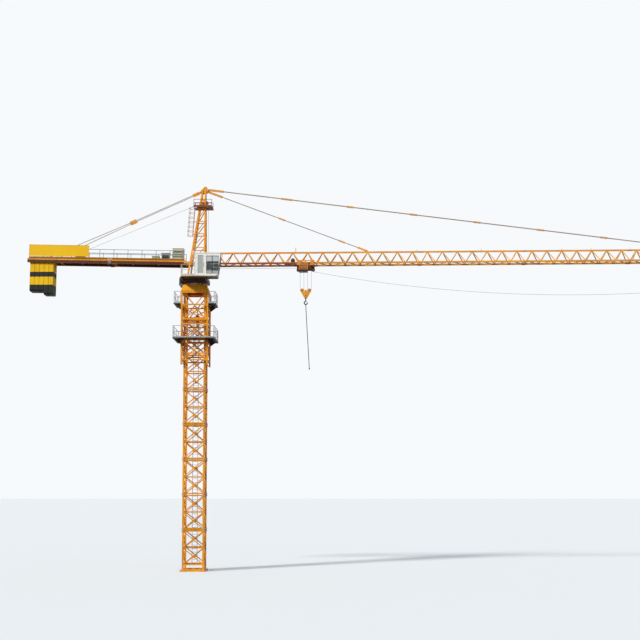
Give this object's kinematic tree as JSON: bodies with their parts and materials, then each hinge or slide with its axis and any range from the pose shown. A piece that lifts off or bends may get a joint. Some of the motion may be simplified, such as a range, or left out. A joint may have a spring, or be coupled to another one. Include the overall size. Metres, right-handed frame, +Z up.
{
  "type": "tower crane scale model",
  "caption": "Hammerhead tower crane at half size: lattice mast with climbing cage, slewing top, jib with trolley and hook, counter-jib, tower head and cab.",
  "frame": {"origin": "centre of the mast's foot, on the ground plane", "axes": "+Z up the mast, +X along the jib, -Y towards the cab's side"},
  "size_m": [35.1915, 2.157, 16.6344],
  "materials": {
    "cab_paint": "gloss white paint",
    "cab_window": "tinted safety glass",
    "counterweight_paint": "painted concrete and steel",
    "cream_paint": "satin paint",
    "galvanised": "hot-dip galvanised",
    "hook_steel": "forged steel, black paint worn bright in the bowl",
    "machine_dark": "satin black paint",
    "machine_grey": "satin paint over cast and rolled steel",
    "platform_paint": "red-brown primer paint",
    "seat_vinyl": "black vinyl",
    "sheave_steel": "greased machined steel",
    "steel": "gloss paint over welded steel, faded by weather",
    "synthetic": "woven lifting sling",
    "wire_rope": "greased stranded wire"
  },
  "bodies": {
    "mast": {"base_frame": "steel", "mast_front": "steel", "mast_back": "steel", "mast_left": "steel", "mast_right": "steel", "mast_ladder": "galvanised", "cage_frames": "steel", "cage_sides": "steel", "cage_platforms": "galvanised", "cage_rails": "galvanised", "climbing_jack": "machine_grey", "slewing_support": "steel", "support_head": "steel"},
    "upperworks": {"slewing_deck": "steel", "slewing_motors": "machine_dark", "tower_head": "steel", "head_platform": "platform_paint", "head_ladder": "cream_paint", "rope_sheaves": "sheave_steel", "counter_jib": "steel", "counter_jib_deck": "galvanised", "counter_jib_rails": "cream_paint", "side_panel": "steel", "counterweights": "counterweight_paint", "hoist_winch": "machine_grey", "electrical_cabinets": "cream_paint", "counter_jib_ties": "steel", "jib_section_1": "steel", "jib_section_2": "steel", "jib_section_3": "steel", "jib_section_4": "steel", "jib_section_5": "steel", "jib_section_6": "steel", "jib_ties": "steel", "trolley_winch": "machine_dark", "hoist_rope": "wire_rope", "jib_rope": "wire_rope", "travel_ropes": "wire_rope", "cab_platform": "cream_paint", "cab_shell": "cab_paint", "cab_door": "cab_paint", "cab_glass": "cab_window", "cab_seat": "seat_vinyl", "slack_rope": "wire_rope"},
    "trolley": {"trolley_frame": "steel", "trolley_wheels": "machine_grey", "trolley_sheaves": "sheave_steel", "trolley_basket": "cream_paint"},
    "hook": {"hook_block": "steel", "block_sheaves": "sheave_steel", "hoist_falls": "wire_rope"},
    "swivel": {"lifting_hook": "hook_steel", "sling": "synthetic", "sling_fitting": "hook_steel"}
  },
  "joints": [
    {"name": "slewing", "type": "hinge", "parent": "mast", "child": "upperworks", "pos_m": [0, 0, 12.3174], "axis": [0, 0, 1], "continuous": true},
    {"name": "trolley_travel", "type": "slide", "parent": "upperworks", "child": "trolley", "axis": [1, 0, 0.0079], "range_m": [-2.9, 22.4], "deforming": ["jib_rope", "slack_rope"]},
    {"name": "hook_hoist", "type": "slide", "parent": "trolley", "child": "hook", "axis": [0, 0, 1], "range_m": [-8.45, 0.55], "deforming": ["hoist_falls"]},
    {"name": "hook_swivel", "type": "hinge", "parent": "hook", "child": "swivel", "pos_m": [4.755, 0, 11.76005], "axis": [0, 0, 1], "continuous": true}
  ]
}
